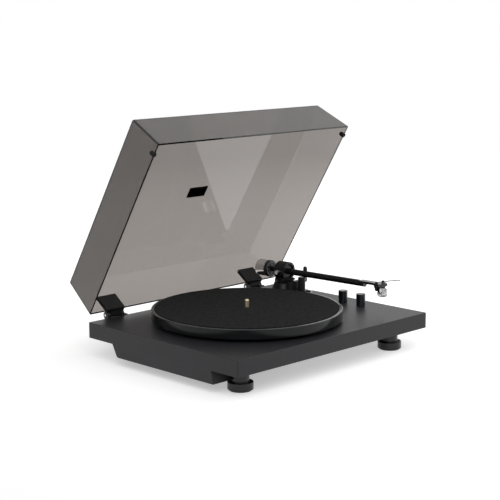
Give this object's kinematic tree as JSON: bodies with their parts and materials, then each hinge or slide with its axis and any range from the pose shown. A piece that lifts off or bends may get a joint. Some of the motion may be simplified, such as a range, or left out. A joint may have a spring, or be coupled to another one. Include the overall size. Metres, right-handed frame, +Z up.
{
  "type": "turntable record player",
  "caption": "Belt-drive record player: plinth on round feet, felt-covered platter with spindle, gimballed tonearm with counterweight and cue lift, turning knobs and a hinged smoked lid.",
  "frame": {"origin": "on the floor plane under the plinth's centre", "axes": "+X to the right seen from the front, +Y to the rear, +Z up along the spindle"},
  "size_m": [0.43, 0.3988, 0.3855],
  "materials": {
    "plinth_lacquer": "satin dark grey lacquer on a wood-fibre board",
    "tray_lacquer": "satin dark grey",
    "steel": "turned bright steel",
    "board": "circuit board laminate",
    "brass": "polished",
    "black_plastic": "moulded black",
    "platter_black": "glossy black finish, rim edge catching the light",
    "felt": "black felt",
    "rubber": "black rubber",
    "alu": "turned",
    "chrome": "plated",
    "chrome_weight": "polished",
    "smoked_lid": "clear smoke-grey acrylic",
    "gloss_black": "gloss black",
    "arm_black": "satin black anodised",
    "headshell_black": "dark anodised, glossy",
    "black_screw": "blackened",
    "clear_guard": "milky translucent",
    "foot_black": "gloss black"
  },
  "bodies": {
    "chassis": {"arm_base": "arm_black", "arm_nut": "steel", "arm_rest": "black_plastic", "bearing_ball": "steel", "bearing_housing": "steel", "control_board": "board", "cue_housing": "black_plastic", "drive_belt": "rubber", "foot_front_left": "foot_black", "foot_front_right": "foot_black", "foot_pad_front_left": "rubber", "foot_pad_front_right": "rubber", "foot_pad_rear_left": "rubber", "foot_pad_rear_right": "rubber", "foot_rear_left": "foot_black", "foot_rear_right": "foot_black", "ground_terminal": "chrome", "hinge_base_left": "black_plastic", "hinge_base_right": "black_plastic", "hinge_pins": "steel", "hinge_screws": "steel", "knob_switches": "black_plastic", "motor": "steel", "motor_grommets": "rubber", "motor_plate": "steel", "motor_screws": "steel", "plinth": "plinth_lacquer", "power_inlet": "black_plastic", "rear_panel": "black_plastic", "signal_sockets": "chrome", "undertray": "tray_lacquer", "undertray_screws": "steel"},
    "platter_set": {"platter": "platter_black", "felt_mat": "felt", "sub_platter": "black_plastic", "spindle": "brass"},
    "pulley": {"motor_pulley": "alu"},
    "lid": {"dust_cover": "smoked_lid", "lid_badge": "gloss_black", "lid_bumpers": "rubber", "hinge_clip_left": "black_plastic", "hinge_clip_right": "black_plastic"},
    "arm_yoke": {"gimbal_ring": "arm_black", "yoke_shaft": "steel", "gimbal_pivots": "steel"},
    "tonearm": {"arm_block": "arm_black", "arm_tube": "arm_black", "headshell": "headshell_black", "finger_lift": "steel", "cartridge_screws": "black_screw", "cartridge": "gloss_black", "stylus": "black_plastic"},
    "guard": {"stylus_guard": "clear_guard"},
    "counterweight": {"counterweight": "chrome_weight"},
    "dial": {"force_dial": "gloss_black"},
    "cue_lever": {"cue_lever": "steel"},
    "cue_lift": {"cue_lift": "arm_black"},
    "power_knob": {"power_knob": "gloss_black"},
    "speed_knob": {"speed_knob": "gloss_black"}
  },
  "joints": [
    {"name": "lid_hinge", "type": "hinge", "parent": "chassis", "child": "lid", "pos_m": [0, 0.176, 0.063], "axis": [-1, 0, 0], "range_deg": [-59.08, 0]},
    {"name": "platter_spin", "type": "hinge", "parent": "chassis", "child": "platter_set", "pos_m": [-0.02565, 0.00365, 0.0595], "axis": [0, 0, -1], "continuous": true},
    {"name": "pulley_spin", "type": "hinge", "parent": "chassis", "child": "pulley", "pos_m": [-0.0999, 0.0779, 0.0595], "axis": [0, 0, -1], "continuous": true},
    {"name": "arm_swing", "type": "hinge", "parent": "chassis", "child": "arm_yoke", "pos_m": [0.14861, 0.088, 0.103], "axis": [0, 0, -1], "range_deg": [0, 54]},
    {"name": "arm_lift", "type": "hinge", "parent": "arm_yoke", "child": "tonearm", "pos_m": [0.14861, 0.088, 0.103], "axis": [-0.9973, -0.0732, 0], "range_deg": [-1.5, 12]},
    {"name": "force_dial_turn", "type": "hinge", "parent": "counterweight", "child": "dial", "pos_m": [0.14641, 0.11792, 0.103], "axis": [-0.0732, 0.9973, 0], "range_deg": [-270, 450]},
    {"name": "counterweight_travel", "type": "slide", "parent": "tonearm", "child": "counterweight", "axis": [-0.0732, 0.9973, 0], "range_m": [-0.003, 0.005]},
    {"name": "guard_slide", "type": "slide", "parent": "tonearm", "child": "guard", "axis": [-0.3223, -0.9466, 0], "range_m": [0, 0.014]},
    {"name": "cue_lever_turn", "type": "hinge", "parent": "chassis", "child": "cue_lever", "pos_m": [0.16846, 0.06349, 0.0695], "axis": [-0.9973, -0.0732, 0], "range_deg": [0, 80]},
    {"name": "cue_lift_rise", "type": "slide", "parent": "chassis", "child": "cue_lift", "axis": [0, 0, 1], "range_m": [0, 0.0024]},
    {"name": "power_knob_turn", "type": "hinge", "parent": "chassis", "child": "power_knob", "pos_m": [0.178, -0.021, 0.0595], "axis": [0, 0, -1], "range_deg": [0, 60]},
    {"name": "speed_knob_turn", "type": "hinge", "parent": "chassis", "child": "speed_knob", "pos_m": [0.178, -0.0603, 0.0595], "axis": [0, 0, -1], "range_deg": [0, 60]}
  ],
  "couplings": [
    {"joint": "pulley_spin", "follows": "platter_spin", "ratio": 11.667},
    {"joint": "force_dial_turn", "follows": "counterweight_travel", "rad_per_m": 1570.8},
    {"joint": "cue_lever_turn", "follows": "cue_lift_rise", "rad_per_m": 581.78}
  ]
}
